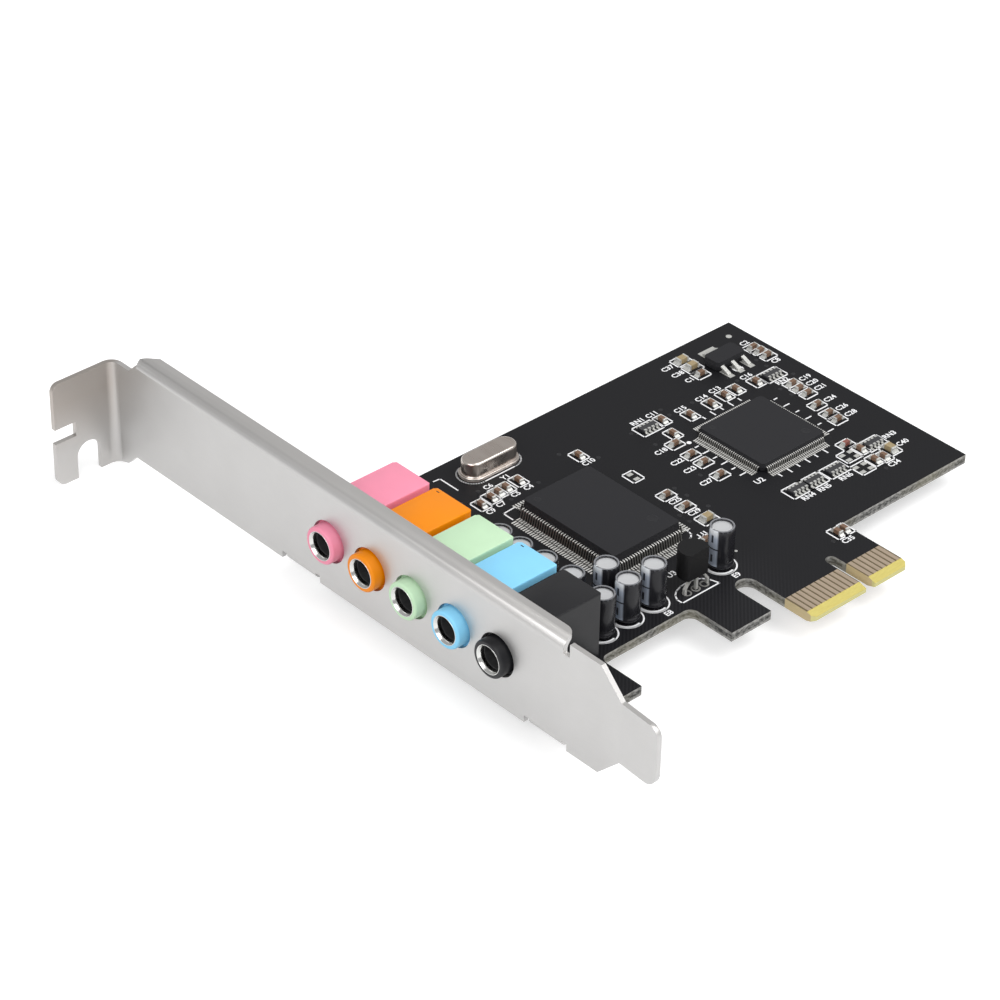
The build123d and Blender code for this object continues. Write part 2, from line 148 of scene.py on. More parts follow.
def new_finish(name, colour, roughness, metallic=0.0, coat=0.0, mirror=0.5):
    """Makes a material, and gives it with its shader's sockets and its places in millimetres."""
    made = bpy.data.materials.new(name)
    made.use_nodes = True
    sockets = made.node_tree.nodes["Principled BSDF"].inputs
    sockets["Base Color"].default_value = colour
    sockets["Roughness"].default_value = roughness
    sockets["Metallic"].default_value = metallic
    sockets["Coat Weight"].default_value = coat
    sockets["Specular IOR Level"].default_value = mirror
    place = Wire(made.node_tree).node("TexCoord", output="Object")
    return made, sockets, place.stretch(1 / MM, 1 / MM, 1 / MM)


crease_angle = 35.0


class Stock:
    """Points in millimetres and faces, gathered for one mesh."""

    def __init__(self):
        self.points = []
        self.faces = []

    def stack(self, rings, ends="both", skip=()):
        """Joins rings of like points by side faces, but those skipped, and closes its ends."""
        first, count = len(self.points), len(rings[0])
        for ring in rings:
            self.points += [Vector(point) for point in ring]
        last = len(self.points) - count
        for low in range(first, last, count):
            for step in range(count):
                if step not in skip:
                    after = (step + 1) % count
                    self.faces.append((low + step, low + after,
                                       low + after + count, low + step + count))
        if ends in ("both", "first"):
            self.faces.append(range(first, first + count))
        if ends in ("both", "last"):
            self.faces.append(range(last, last + count))

    def box(self, low, high):
        corners = [(low[0], low[1]), (high[0], low[1]), (high[0], high[1]), (low[0], high[1])]
        self.stack([[(x, y, z) for x, y in corners] for z in (low[2], high[2])])

    def mesh(self, name, finish):
        made = bpy.data.meshes.new(name)
        places = [point * MM for point in self.points]
        made.from_pydata(places, [], [tuple(face) for face in self.faces])
        work = bmesh.new()
        work.from_mesh(made)
        bmesh.ops.recalc_face_normals(work, faces=work.faces)
        work.to_mesh(made)
        work.free()
        made.polygons.foreach_set("use_smooth", [True] * len(made.polygons))
        made.set_sharp_from_angle(angle=math.radians(crease_angle))
        made.materials.append(finish)
        return made


def put(name, data, place=(0, 0, 0)):
    made = bpy.data.objects.new(name, data)
    made.location = Vector(place) * MM
    bpy.context.scene.collection.objects.link(made)
    return made


sheet_reach, sheet_level, sheet_glow = 3000, cad_box[0].z / MM, 0.55
white_paper, sockets, place = new_finish("white_paper", shade(206, 206, 206),
                                         roughness=0.9, mirror=0.1)
rays = ("Camera", "Glossy", "Transmission")
seen = sum((place.node("LightPath", output=f"Is {ray} Ray") for ray in rays), 0.0)
glow = (seen > 0.5).blend((0, 0, 0, 1), (sheet_glow, sheet_glow, sheet_glow, 1))
glow.feed(sockets["Emission Color"])
sockets["Emission Strength"].default_value = 1.0
place.noise(0.6, 3.0).bump(0.01, 0.2).feed(sockets["Normal"])
sheet = Stock()
sheet.stack([[(x * sheet_reach, y * sheet_reach, sheet_level)
              for x, y in ((-1, -1), (1, -1), (1, 1), (-1, 1))]], ends="first")
put("white_sheet", sheet.mesh("white_sheet", white_paper))

camera_lens = bpy.data.cameras.new("camera")
camera_lens.lens, camera_lens.sensor_width = 128.18, 36.0
camera = put("camera", camera_lens)
camera_right = Vector((0.67640226, 0.73636167, 0.01585771))
camera_up = Vector((-0.42823929, 0.37566992, 0.82187786))
camera_back = Vector((0.59924209, -0.56271094, 0.56944299))
camera.matrix_world = Matrix((camera_right, camera_up, camera_back)).transposed().to_4x4()
camera.location = (0.270446, -0.328781, 0.306065)
bpy.context.scene.camera = camera

card_middle = (cad_box[0] + cad_box[1]) / 2
soft_box_width = 0.7


def soft_box(name, away, power):
    """A square lamp at that distance in metres from the card, facing its middle."""
    lamp = bpy.data.lights.new(name, "AREA")
    lamp.size, lamp.energy = soft_box_width, power
    held = put(name, lamp)
    held.location = card_middle + Vector(away)
    held.rotation_mode = "QUATERNION"
    held.rotation_quaternion = Vector(away).to_track_quat("Z", "Y")


soft_box("overhead_box", (0.4, 0.3, 0.85), power=6.1)
soft_box("window_box", (0.3, -0.8, 0.6), power=5.2)
soft_box("finger_side_box", (0.9, 0.15, 0.35), power=0.9)

room = bpy.data.worlds.new("pale_room")
room.use_nodes = True
room_light = room.node_tree.nodes["Background"].inputs
room_light["Color"].default_value = (1, 1, 1, 1)
room_light["Strength"].default_value = 0.5
bpy.context.scene.world = room
bpy.context.scene.view_settings.view_transform = "Standard"


# ---- Slot bracket ----------------------------------------
# One strip of thin steel, stamped with its five jack holes and folded at the tab and
# along its long sides, then nickel plated to a satin grey. Two screws hold it to the board.
weld_gap, corner_angle = 0.001, 40
tab_face, tab_fold, tab_top = -104.6, -103.4, 9.0


def dress(node, finish, rounding=0.0):
    """Puts a finish on a carried-over node, and rounds its edges a little."""
    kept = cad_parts[node]
    for holder in kept.material_slots:
        holder.material = finish
    if rounding:
        joined = kept.modifiers.new("joined", "WELD")
        joined.merge_threshold = weld_gap * MM
        rounded = kept.modifiers.new("rounded", "BEVEL")
        rounded.width, rounded.segments = rounding * MM, 2
        rounded.limit_method, rounded.angle_limit = "ANGLE", math.radians(corner_angle)
        rounded.harden_normals = True


satin_nickel, sockets, place = new_finish("satin_nickel", shade(200, 199, 199),
                                          roughness=0.5, metallic=0.9)
grain = place.stretch(0.25, 6.0, 6.0).noise(1.2, 4.0)
mottle = place.noise(0.12, 3.0)
(0.34 + 0.12 * grain + 0.08 * mottle).feed(sockets["Roughness"])
plating = mottle.blend(shade(191, 190, 189), shade(203, 202, 201))
# Painted light: faces that look upward, such as the top of the flange, are painted lighter.
painted_top_light = place.upward().ramp(0.3, 0.9)
plating = painted_top_light.blend(plating, shade(211, 209, 207))
# Painted shade: the inside of the tab's fold is painted darker and warmer, the more so higher up.
on_tab = place.axis("X").ramp(tab_face, tab_fold, 1.0, 0.0)
high_up = place.axis("Z").ramp(0.0, tab_top, 0.2, 1.0)
(on_tab * high_up).blend(plating, shade(183, 176, 170)).feed(sockets["Base Color"])
grain.bump(0.012, 0.35).feed(sockets["Normal"])
dress("bracket", satin_nickel, rounding=0.09)


# ---- Bracket screws --------------------------------------
# Two small pan-head steel screws with cross recesses, driven down through the board into
# the bracket's lugs. They are cold headed, thread rolled and zinc plated.
ring_steps, wire_steps = 40, 24
head_profile = [(2.0, 0.0), (2.0, 0.55), (1.93, 0.85), (1.75, 1.15), (1.5, 1.38), (1.2, 1.5)]
head_top = head_profile[-1][1]
arm_width, arm_length = 0.22, 0.95
recess_floor, recess_taper = 0.65, 0.55
thread_crest, thread_root, half_pitch, point_radius = 1.25, 1.02, 0.22, 0.7
thread_top, thread_rings = 0.02, 15


def circle(x, y, z, radius, steps=ring_steps):
    """A level ring of points."""
    turns = (2 * math.pi * step / steps for step in range(steps))
    return [(x + radius * math.cos(turn), y + radius * math.sin(turn), z) for turn in turns]


def middle_of(low, high):
    """The middle of a box, seen from above."""
    return (low[0] + high[0]) / 2, (low[1] + high[1]) / 2


def islands(node):
    """The boxes of the separate solids of a node, in millimetres."""
    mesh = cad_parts[node].data
    keys = [tuple(round(part / MM, 3) for part in vertex.co) for vertex in mesh.vertices]
    leads_to = {key: key for key in keys}

    def head(key):
        while leads_to[key] != key:
            leads_to[key] = leads_to[leads_to[key]]
            key = leads_to[key]
        return key

    for face in mesh.polygons:
        for index in face.vertices[1:]:
            leads_to[head(keys[index])] = head(keys[face.vertices[0]])
    solids = {}
    for key in leads_to:
        solids.setdefault(head(key), []).append(key)
    return sorted((tuple(map(min, zip(*solid))), tuple(map(max, zip(*solid))))
                  for solid in solids.values())


def add_piece(name, stock, finish, slot, *nodes, place=(0, 0, 0)):
    """Adds a piece that rides on the card, takes the given finish and stands for nodes; the slot
    is not used.
    """
    made = put(name, stock.mesh(name, finish), place)
    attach(made, "root")
    if nodes:
        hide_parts(*nodes)


zinc_plate, sockets, place = new_finish("zinc_plate", shade(188, 190, 192),
                                        roughness=0.35, metallic=1.0)
(0.26 + 0.2 * place.noise(2.5, 4.0)).feed(sockets["Roughness"])
place.noise(9.0).bump(0.006, 0.4).feed(sockets["Normal"])

cross = [(arm_width, arm_width), (arm_width, arm_length), (-arm_width, arm_length)]
for _ in range(3):
    cross += [(-v, u) for u, v in cross[-3:]]
thread = [(thread_crest if step % 2 else thread_root, thread_top - half_pitch * step)
          for step in range(thread_rings)]
eighth = ring_steps // 8
screws = Stock()
for low, high in islands("bracket_screws"):
    x, y = middle_of(low, high)
    screws.stack([circle(x, y, z, radius) for radius, z in head_profile], ends="none")
    edge = len(screws.points)
    rim = edge - ring_steps
    screws.stack([[(x + share * u, y + share * v, z) for u, v in cross]
                  for share, z in ((1, head_top), (recess_taper, recess_floor))], ends="last")
    for quarter in range(4):
        start = eighth + 2 * eighth * quarter
        rim_arc = [rim + (start + step) % ring_steps for step in range(2 * eighth + 1)]
        arm = [edge + (3 * quarter + step) % len(cross) for step in (3, 2, 1, 0)]
        screws.faces.append(rim_arc + arm[:3])
        screws.faces.append([rim_arc[0], *arm[2:]])
    screws.stack([circle(x, y, z, radius, wire_steps)
                  for radius, z in thread + [(point_radius, low[2])]])
add_piece("pan_head_screws", screws, zinc_plate, "screw_steel", "bracket_screws")


# ---- Circuit board ---------------------------------------
# Glass-fibre laminate with copper tracks under a black solder mask on both faces. It is
# routed to shape, so that the cut edges show the bare fibres, and bevelled at the fingers.
board_thickness = 1.6
mask_end, finger_start, tongue_end = -5.75, -12.3, -0.6
hatch_pitch, hatch_start, hatch_full = 0.53, -28.0, -17.0
hook_start, hook_end = -14.0, -6.0

board_finish, sockets, place = new_finish("black_solder_mask", shade(24, 24, 27),
                                          roughness=0.4, mirror=0.2)
facing = abs(place.upward())
flat = facing > 0.995
bevelled = (facing > 0.2) * (1 - flat)
bare = (place.axis("X") > mask_end) * (place.axis("Y") > finger_start)
masked = flat * (1 - bare)
diagonal = (place.axis("X") + place.axis("Y")) * (2 * math.pi / (math.sqrt(2) * hatch_pitch))
hatch = place.sum("SINE", diagonal) > 0.2
near_slot = place.axis("X").ramp(hatch_start, hatch_full)
near_hook = place.axis("Y").ramp(hook_start, hook_end, 1.0, 0.12)
copper = hatch * near_slot * near_hook
speck = place.noise(7.0, 4.0)
fibre = place.stretch(0.6, 0.6, 9.0).noise(1.6, 5.0)
mask_colour = copper.blend(shade(22, 22, 25), shade(32, 32, 35))
bundles = place.stretch(1.6, 1.6, 3.2).noise(1.0).ramp(0.38, 0.62)
outer_plies = abs(place.axis("Z") + board_thickness / 2).ramp(0.2, 0.6)
plies = 0.5 * outer_plies + 0.55 * bundles - 0.05
glass_colour = plies.blend(shade(62, 62, 61), shade(170, 169, 166))
resin = place.noise(0.09).ramp(0.45, 0.75, 0.0, 0.5)
edge_colour = resin.blend(glass_colour, shade(154, 149, 124))
bevel_colour = fibre.blend(shade(184, 170, 92), shade(206, 194, 116))
bare_colour = speck.blend(shade(92, 82, 62), shade(116, 104, 80))
tongue_colour = fibre.blend(shade(184, 165, 126), shade(212, 195, 154))
end_face = place.axis("X") > tongue_end
cut_colour = bare.blend(edge_colour, end_face.blend(tongue_colour, shade(208, 202, 140)))
cut_colour = bevelled.blend(cut_colour, bevel_colour)
unmasked_colour = (flat * bare).blend(cut_colour, bare_colour)
masked.blend(unmasked_colour, mask_colour).feed(sockets["Base Color"])
(0.62 - 0.2 * masked + 0.1 * speck).feed(sockets["Roughness"])
relief = 0.5 * copper * masked + 0.25 * speck + 0.8 * fibre * (1 - flat)
relief.bump(0.03, 0.4).feed(sockets["Normal"])
dress("circuit_board", board_finish)


# ---- Edge contacts ---------------------------------------
# Eighteen copper pads on each face of the tongue that enters the slot, plated with nickel
# and hard gold, and a little worn by insertion.
contact_gold, sockets, place = new_finish("contact_gold", shade(214, 190, 172),
                                          roughness=0.36, metallic=0.8)
wear = place.stretch(0.5, 5.0, 5.0).noise(1.0, 4.0)
wear.blend(shade(194, 174, 152), shade(222, 203, 180)).feed(sockets["Base Color"])
(0.24 + 0.2 * wear).feed(sockets["Roughness"])
wear.bump(0.006, 0.4).feed(sockets["Normal"])
dress("edge_contacts", contact_gold)


# ---- Jacks -----------------------------------------------
# Five stereo sockets in a row, each moulded in its own colour, with a barrel through the
# bracket and a plated ferrule pressed into its mouth. Pins solder them to the board.
jack_colours = {"pink": shade(247, 150, 176), "orange": shade(247, 143, 0),
                "green": shade(200, 233, 196), "blue": shade(142, 217, 254),
                "black": shade(28, 28, 31)}
housing_depth, housing_corner, edge_ease = 15.25, 0.2, 0.12
step_width, step_depth, step_ease = 0.6, 0.4, 0.06
jack_height, barrel_steps = 6.1, 56
front_radius, barrel_radius, barrel_round, mouth_depth = 4.05, 3.0, 0.35, 1.0
ferrule_radius, bore_radius, bore_depth = 2.36, 1.92, 13.0
ferrule_profile = [(ferrule_radius, 0.6), (ferrule_radius, 0.03), (2.33, 0.0), (2.26, 0.0),
                   (2.23, 0.03), (2.18, 0.12), (2.02, 0.3), (1.95, 0.42),
                   (bore_radius, 0.6), (bore_radius, 1.1)]
well_profile = [(bore_radius, 1.1), (1.86, 1.15), (1.86, bore_depth - 1), (0.6, bore_depth)]
slot_side, slot_half, slot_foot, slot_head = 2.4, 0.45, 0.3, 5.2
vent_half, vent_foot, vent_head = 1.1, 8.6, 9.4
slot_depth, slot_proud = 0.3, 0.006
spring_depth = 0.2
spring_profile = [(0.2, 0.02, 0.0), (0.3, 0.06, 0.4), (0.3, 0.06, 3.9), (0.22, 0.01, 4.3)]
notched_jacks, notch_low, notch_high = ("orange", "blue"), (1.3, -0.8, -0.2), (1.9, -0.62, 0.004)

bright_plate, sockets, place = new_finish("bright_plate", shade(214, 214, 212),
                                          roughness=0.14, metallic=1.0)
(0.1 + 0.14 * place.noise(1.5, 3.0)).feed(sockets["Roughness"])
place.stretch(1.0, 12.0, 1.0).noise(1.0, 3.0).bump(0.004, 0.3).feed(sockets["Normal"])
# Painted shade: a dark grey lining stands for the shade in the jacks' hollows, that is the bores,
# the slots and vent at the back, and the corner notches.
hollow_shade, sockets, place = new_finish("hollow_shade", shade(48, 48, 49), roughness=0.6, mirror=0.3)
place.noise(3.0).bump(0.02, 0.3).feed(sockets["Normal"])
shade_mottle = place.stretch(1.0, 0.3, 1.0).noise(1.2)
shade_mottle.blend(shade(36, 36, 37), shade(60, 60, 61)).feed(sockets["Base Color"])


def node_box(node):
    """A node's lowest and highest corners, in millimetres."""
    return [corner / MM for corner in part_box(node)]


def barrel_ring(x, y, radius):
    """A ring of points round the line of a jack's bore."""
    turns = (2 * math.pi * step / barrel_steps for step in range(barrel_steps))
    return [(x + radius * math.cos(turn), y, jack_height + radius * math.sin(turn))
            for turn in turns]


def housing_ring(low, high, z, by, left):
    """A housing's outline, drawn in by so much, with its left side moved in further."""
    west, east, back = low.x + max(by, left), high.x - by, high.y - by
    front = high.y - housing_depth
    return [(west, front, z), (east, front, z), (east, back - housing_corner, z),
            (east - housing_corner, back, z), (west + housing_corner, back, z),
            (west, back - housing_corner, z)]


for colour, tint in jack_colours.items():
    plastic, sockets, place = new_finish(colour + "_plastic", tint, roughness=0.38, mirror=0.3)
    cloud = place.noise(0.35)
    deeper = tuple(part * 0.92 for part in tint[:3]) + (1.0,)
    cloud.blend(deeper, tint).feed(sockets["Base Color"])
    (0.32 + 0.14 * cloud).feed(sockets["Roughness"])
    place.noise(5.0, 3.0).bump(0.008, 0.4).feed(sockets["Normal"])

    node = colour + "_jack_housing"
    low, high = node_box(node)
    x, _ = middle_of(low, high)
    front, back, tip = high.y - housing_depth, high.y, low.y
    step_level = high.z - step_depth
    levels = [(0, edge_ease, 0), (edge_ease, 0, 0), (step_level - step_ease, 0, 0),
              (step_level, 0, step_ease), (step_level, 0, step_width),
              (high.z - edge_ease, 0, step_width),
              (high.z - edge_ease / 4, edge_ease / 2, step_width + edge_ease / 2),
              (high.z, edge_ease, step_width + edge_ease)]
    housing = Stock()
    housing.stack([housing_ring(low, high, *level) for level in levels], skip=(0,))
    mouth = [(front_radius, front), (barrel_radius, front), (barrel_radius, tip + barrel_round)]
    mouth += [(barrel_radius - barrel_round * (1 - math.cos(turn)),
               tip + barrel_round * (1 - math.sin(turn)))
              for turn in map(math.radians, (18, 36, 54, 72, 90))]
    mouth += [(ferrule_radius, tip), (ferrule_radius, tip + mouth_depth)]
    housing.stack([barrel_ring(x, y, radius) for radius, y in mouth], ends="none")
    add_piece(colour + "_jack_moulding", housing, plastic, colour + "_plastic", node)

    # The ferrule is plated metal, and the well lines the bore with painted shade.
    ferrule, well = Stock(), Stock()
    ferrule.stack([barrel_ring(x, tip + y, radius) for radius, y in ferrule_profile], ends="none")
    well.stack([barrel_ring(x, tip + y, radius) for radius, y in well_profile], ends="last")
    add_piece(colour + "_jack_ferrule", ferrule, bright_plate, "tinned_leads")
    add_piece(colour + "_jack_well", well, hollow_shade, "black_plastic")

    # Dark boxes of painted shade stand for the slots, the vent and the notches at the back.
    slots, springs = Stock(), Stock()
    for slot_x in (x - slot_side, x + slot_side):
        slots.box((slot_x - slot_half, back - slot_depth, slot_foot),
                  (slot_x + slot_half, back + slot_proud, slot_head))
        springs.stack([[(slot_x - wide, back + out, z), (slot_x + wide, back + out, z),
                        (slot_x + wide, back - spring_depth, z),
                        (slot_x - wide, back - spring_depth, z)]
                       for wide, out, z in spring_profile])
    slots.box((x - vent_half, back - slot_depth, vent_foot),
              (x + vent_half, back + slot_proud, vent_head))
    if colour in notched_jacks:
        top_corner = Vector((low.x, back, high.z))
        slots.box(top_corner + Vector(notch_low), top_corner + Vector(notch_high))
    add_piece(colour + "_jack_slots", slots, hollow_shade, "black_plastic")
    add_piece(colour + "_jack_springs", springs, bright_plate, "tinned_leads")


# ---- Chip bodies -----------------------------------------
# Two black epoxy packages, moulded round their lead frames and left matt by the mould.
# On each, a shallow round dimple marks the first lead, and an ejector pin leaves a wider one.
chip_dimples = {"audio_chip_body": ((1.7, 1.7, 0.6), (16.6, 11.2, 0.9)),
                "bridge_chip_body": ((1.6, 1.6, 0.55), (11.8, 11.8, 0.75))}
dimple_profile = [(0, 0.0), (0.03, 0.012), (0.14, 0.004)]

moulding, sockets, place = new_finish("chip_moulding", shade(36, 36, 39),
                                      roughness=0.62, mirror=0.25)
sand = place.noise(11.0, 4.0)
sand.blend(shade(31, 31, 34), shade(41, 41, 44)).feed(sockets["Base Color"])
(0.5 + 0.2 * sand).feed(sockets["Roughness"])
sand.bump(0.012, 0.5).feed(sockets["Normal"])
dimple, sockets, place = new_finish("polished_dimple", shade(34, 34, 37),
                                    roughness=0.4, mirror=0.3)
place.noise(2.0).bump(0.01, 0.3).feed(sockets["Normal"])
place.noise(1.5).blend(shade(31, 31, 34), shade(37, 37, 40)).feed(sockets["Base Color"])

marks = Stock()
for node, dimples in chip_dimples.items():
    dress(node, moulding, rounding=0.06)
    low, high = node_box(node)
    for along, over, radius in dimples:
        marks.stack([circle(low.x + along, low.y + over, high.z + up, radius - by)
                     for by, up in dimple_profile], ends="last")
add_piece("mould_dimples", marks, dimple, "chip_moulding")


# ---- Chip leads ------------------------------------------
# Stamped copper leads, tin plated and bent to a gull wing. Each foot is soldered to a
# tinned pad that runs on past it.
lead_root, knee, ankle, bend_cut = 0.25, 0.3, 0.5, 0.14
pad_heel, pad_height, pad_margin = 0.42, 0.03, 0.03
x_way, y_way = Vector((1, 0, 0)), Vector((0, 1, 0))

tin, sockets, place = new_finish("tinned_copper", shade(196, 196, 192),
                                 roughness=0.4, metallic=0.6)
film = place.noise(3.0, 3.0)
(0.34 + 0.2 * film).feed(sockets["Roughness"])
film.blend(shade(194, 194, 190), shade(222, 222, 218)).feed(sockets["Base Color"])
place.noise(6.0).bump(0.01, 0.3).feed(sockets["Normal"])
lead_tin, sockets, place = new_finish("tinned_leads", shade(186, 186, 180),
                                      roughness=0.42, metallic=0.5)
# Painted light and shade: the level parts of the leads and pads are painted bright, their steep
# parts dark grey.
slope_shading = abs(place.upward()).ramp(0.35, 0.8)
level_tin = place.noise(3.0).blend(shade(222, 221, 217), shade(244, 243, 239))
slope_shading.blend(shade(92, 91, 88), level_tin).feed(sockets["Base Color"])
place.noise(6.0).bump(0.01, 0.3).feed(sockets["Normal"])


def bend(path, cut):
    """Rounds the inner corners of a path of flat points."""
    bent = [Vector(path[0])]
    for before, corner, after in zip(path, path[1:], path[2:]):
        before, corner, after = Vector(before), Vector(corner), Vector(after)
        start = corner + (before - corner).normalized() * cut
        end = corner + (after - corner).normalized() * cut
        bent += [start, (start + 2 * corner + end) / 4, end]
    return bent + [Vector(path[-1])]


def ribbon(path, thickness):
    """The outline of a strip of that thickness along a path."""
    upper, lower = [], []
    for index, point in enumerate(path):
        ahead = path[min(index + 1, len(path) - 1)] - path[max(index - 1, 0)]
        off = Vector((-ahead.y, ahead.x)).normalized() * thickness / 2
        upper.append(point + off)
        lower.append(point - off)
    return upper + lower[::-1]


def gull_wings(node, body, thickness, pad_reach):
    """Bent leads and pads in the place of a node's straight ones."""
    leads, pads = Stock(), Stock()
    body_low, body_high = node_box(body)
    body_middle = (body_low + body_high) / 2
    for low, high in islands(node):
        low, high = Vector(low), Vector(high)
        centre = (low + high) / 2
        out, side = (x_way, y_way) if body_low.y < centre.y < body_high.y else (y_way, x_way)
        out = out * (1 if (centre - body_middle).dot(out) > 0 else -1)
        face = abs((body_high - body_middle).dot(out))
        width = (high - low).dot(side)
        reach = max((end - body_middle).dot(out) for end in (low, high)) - face
        root = body_middle + out * face + side * (centre - body_middle).dot(side)
        root.z = 0
        height, foot = high.z - thickness / 2, thickness / 2 + pad_height
        path = bend([(-lead_root, height), (knee * reach, height), (ankle * reach, foot),
                     (reach, foot)], bend_cut * reach)
        outline = ribbon(path, thickness)
        leads.stack([[root + out * d + Vector((0, 0, z)) + side * half for d, z in outline]
                     for half in (-width / 2, width / 2)])
        heel, wide = pad_heel * reach, width / 2 + pad_margin
        pad = ((heel, -wide), (pad_reach, -wide), (pad_reach, wide), (heel, wide))
        pads.stack([[root + out * d + side * half + Vector((0, 0, z)) for d, half in pad]
                    for z in (0.0, pad_height)])
    add_piece(node + "_bent", leads, lead_tin, "tinned_leads", node)
    add_piece(node + "_pads", pads, lead_tin, "tinned_leads")


gull_wings("audio_chip_leads", "audio_chip_body", thickness=0.16, pad_reach=2.6)
gull_wings("bridge_chip_leads", "bridge_chip_body", thickness=0.13, pad_reach=1.7)


# ---- Crystal ---------------------------------------------
# A drawn metal can, welded by its flange to a flat base. It stands on the board on two
# wires, and its plating shows the draw lines.
crystal_low, crystal_high = node_box("crystal")
crystal_x, crystal_y = middle_of(crystal_low, crystal_high)
crystal_half_width = (crystal_high.x - crystal_low.x) / 2
crystal_half_length = (crystal_high.y - crystal_low.y) / 2
lip, base, crystal_top = 0.4, 0.6, crystal_high.z
can_profile = [(0.06, 0.0), (0.0, 0.06), (0.0, base - 0.08), (0.08, base), (lip - 0.08, base),
               (lip, base + 0.1), (lip, crystal_top - 0.45), (lip + 0.06, crystal_top - 0.22),
               (lip + 0.22, crystal_top - 0.06), (lip + 0.45, crystal_top),
               (lip + 0.7, crystal_top - 0.015)]

can_metal, sockets, place = new_finish("drawn_can", shade(190, 180, 170),
                                       roughness=0.26, metallic=0.95)
draw = place.stretch(0.3, 0.9, 0.3).noise(0.8)
drawn = draw.blend(shade(186, 175, 167), shade(207, 198, 191))
# Painted highlight: the rounded edges of the can and its flange, where the surface slopes, are
# painted lighter.
painted_rim_highlight = abs(abs(place.upward()) - 0.62).ramp(0.1, 0.34, 1.0, 0.0)
painted_rim_highlight.blend(drawn, shade(216, 209, 202)).feed(sockets["Base Color"])
(0.2 + 0.16 * draw).feed(sockets["Roughness"])
draw.bump(0.01, 0.2).feed(sockets["Normal"])


def crystal_ring(by, z, steps=20):
    """The crystal's outline, straight along Y with round ends, drawn in by so much."""
    half_width = crystal_half_width - by
    straight = crystal_half_length - by - half_width
    ring = []
    for sign in (1, -1):
        for step in range(steps + 1):
            turn = math.pi * step / steps
            ring.append((crystal_x + sign * half_width * math.cos(turn),
                         crystal_y + sign * (straight + half_width * math.sin(turn)), z))
    return ring


can = Stock()
can.stack([crystal_ring(by, z) for by, z in can_profile])
add_piece("crystal_can", can, can_metal, "crystal_can", "crystal")


# ---- Electrolytic capacitors -----------------------------
# Nine small aluminium cans in black shrink sleeves, with a grey stripe of dashes on the
# negative side. Each stands on a rubber bung, its two wires soldered under the board.
sleeve_profile = [(1.62, 0.0), (1.7, 0.1), (1.78, 0.35), (1.93, 0.5), (2.0, 0.62), (2.0, 0.95),
                  (1.9, 1.15), (1.9, 1.35), (2.0, 1.55), (2.0, 6.6), (1.97, 6.85), (1.92, 7.04),
                  (1.85, 7.17), (1.76, 7.2), (1.62, 7.17), (1.56, 7.1), (1.55, 6.8)]
lid_profile = [(1.57, 6.78), (1.57, 6.84), (1.5, 6.87), (1.42, 6.86), (0.2, 6.87)]
stripe_foot, stripe_middle, stripe_full, stripe_edge = 0.9, 3.9, 0.4, 0.54
dash_away, dash_half, dash_half_angle, bar_half = 1.7, 0.65, 0.1, 0.12
shoulder_start, shoulder_end, fold_count = 5.8, 6.7, 17.0
crimp_start, wrinkle_start, crest_start = 6.75, 6.95, 7.15

sleeve, sockets, place = new_finish("black_sleeve", shade(32, 32, 36),
                                    roughness=0.3, coat=0.05, mirror=0.26)
turn = place.sum("ARCTAN2", place.axis("X"), 0 - place.axis("Y"))
tall = place.axis("Z")
stripe = abs(turn).ramp(stripe_full, stripe_edge, 1.0, 0.0) * (tall > stripe_foot)
from_middle = abs(tall - stripe_middle)
dash = (abs(turn) < dash_half_angle) * (abs(from_middle - dash_away) < dash_half)
dash = dash + (from_middle < bar_half)
folds = place.sum("SINE", turn * fold_count)
crimp = (folds + place.noise(1.1)) * (tall > crimp_start)
rub = place.noise(0.8, 1.0)
# The stripe grows lighter towards the top of the can, nearly white at its shoulder.
shoulder = tall.ramp(shoulder_start, shoulder_end)
stripe_ink = shoulder.blend(shade(168, 177, 192), shade(222, 225, 229))
ink = dash.blend(stripe_ink, shade(54, 57, 66))
film = stripe.blend(rub.blend(shade(29, 29, 33), shade(38, 38, 42)), ink)
# Painted highlight: light specks on the wrinkles near the top of the sleeve, off the stripe.
wrinkle_glint = ((folds + 3.0 * place.noise(0.9)) > 2.0) * (tall > wrinkle_start) * (1 - stripe)
film = wrinkle_glint.blend(film, shade(66, 67, 72))
# Painted highlight: a broken light line along the crest of the sleeve's rolled-over top.
crest_highlight = (tall > crest_start) * (place.noise(0.7) > 0.36)
crest_highlight.blend(film, shade(126, 127, 131)).feed(sockets["Base Color"])
(0.2 + 0.1 * rub + 0.15 * stripe).feed(sockets["Roughness"])
(0.2 * rub + crimp).bump(0.03, 0.4).feed(sockets["Normal"])
can_top, sockets, place = new_finish("aluminium_top", shade(232, 233, 235),
                                     roughness=0.36, metallic=0.7)
mill = place.stretch(6.0, 0.6, 1.0).noise(1.4, 4.0)
(0.28 + 0.2 * mill).feed(sockets["Roughness"])
mill.bump(0.008, 0.4).feed(sockets["Normal"])

capacitor_places = []
for number in range(1, 10):
    node = f"capacitor_{number}"
    x, y = middle_of(*node_box(node))
    capacitor_places.append((x, y))
    shell, lid = Stock(), Stock()
    shell.stack([circle(0, 0, z, radius) for radius, z in sleeve_profile], ends="first")
    lid.stack([circle(0, 0, z, radius) for radius, z in lid_profile])
    add_piece(node + "_sleeve", shell, sleeve, "capacitor_sleeve", node, place=(x, y, 0.0))
    add_piece(node + "_lid", lid, can_top, "crystal_can", place=(x, y, 0.0))


# ---- Voltage regulators ----------------------------------
# One three-legged moulding that stands on its wires, in ring pads of dull tin, and one flat
# package with a soldered tab. Both are black epoxy on tinned copper.
hole_pad_profile = [(0.76, 0.0), (0.75, 0.03), (0.54, 0.035), (0.48, 0.005)]
solder_past = {"power_regulator_leads": 0.7, "power_regulator_tab": -0.8}
solder_margin, solder_height = 0.2, 0.05

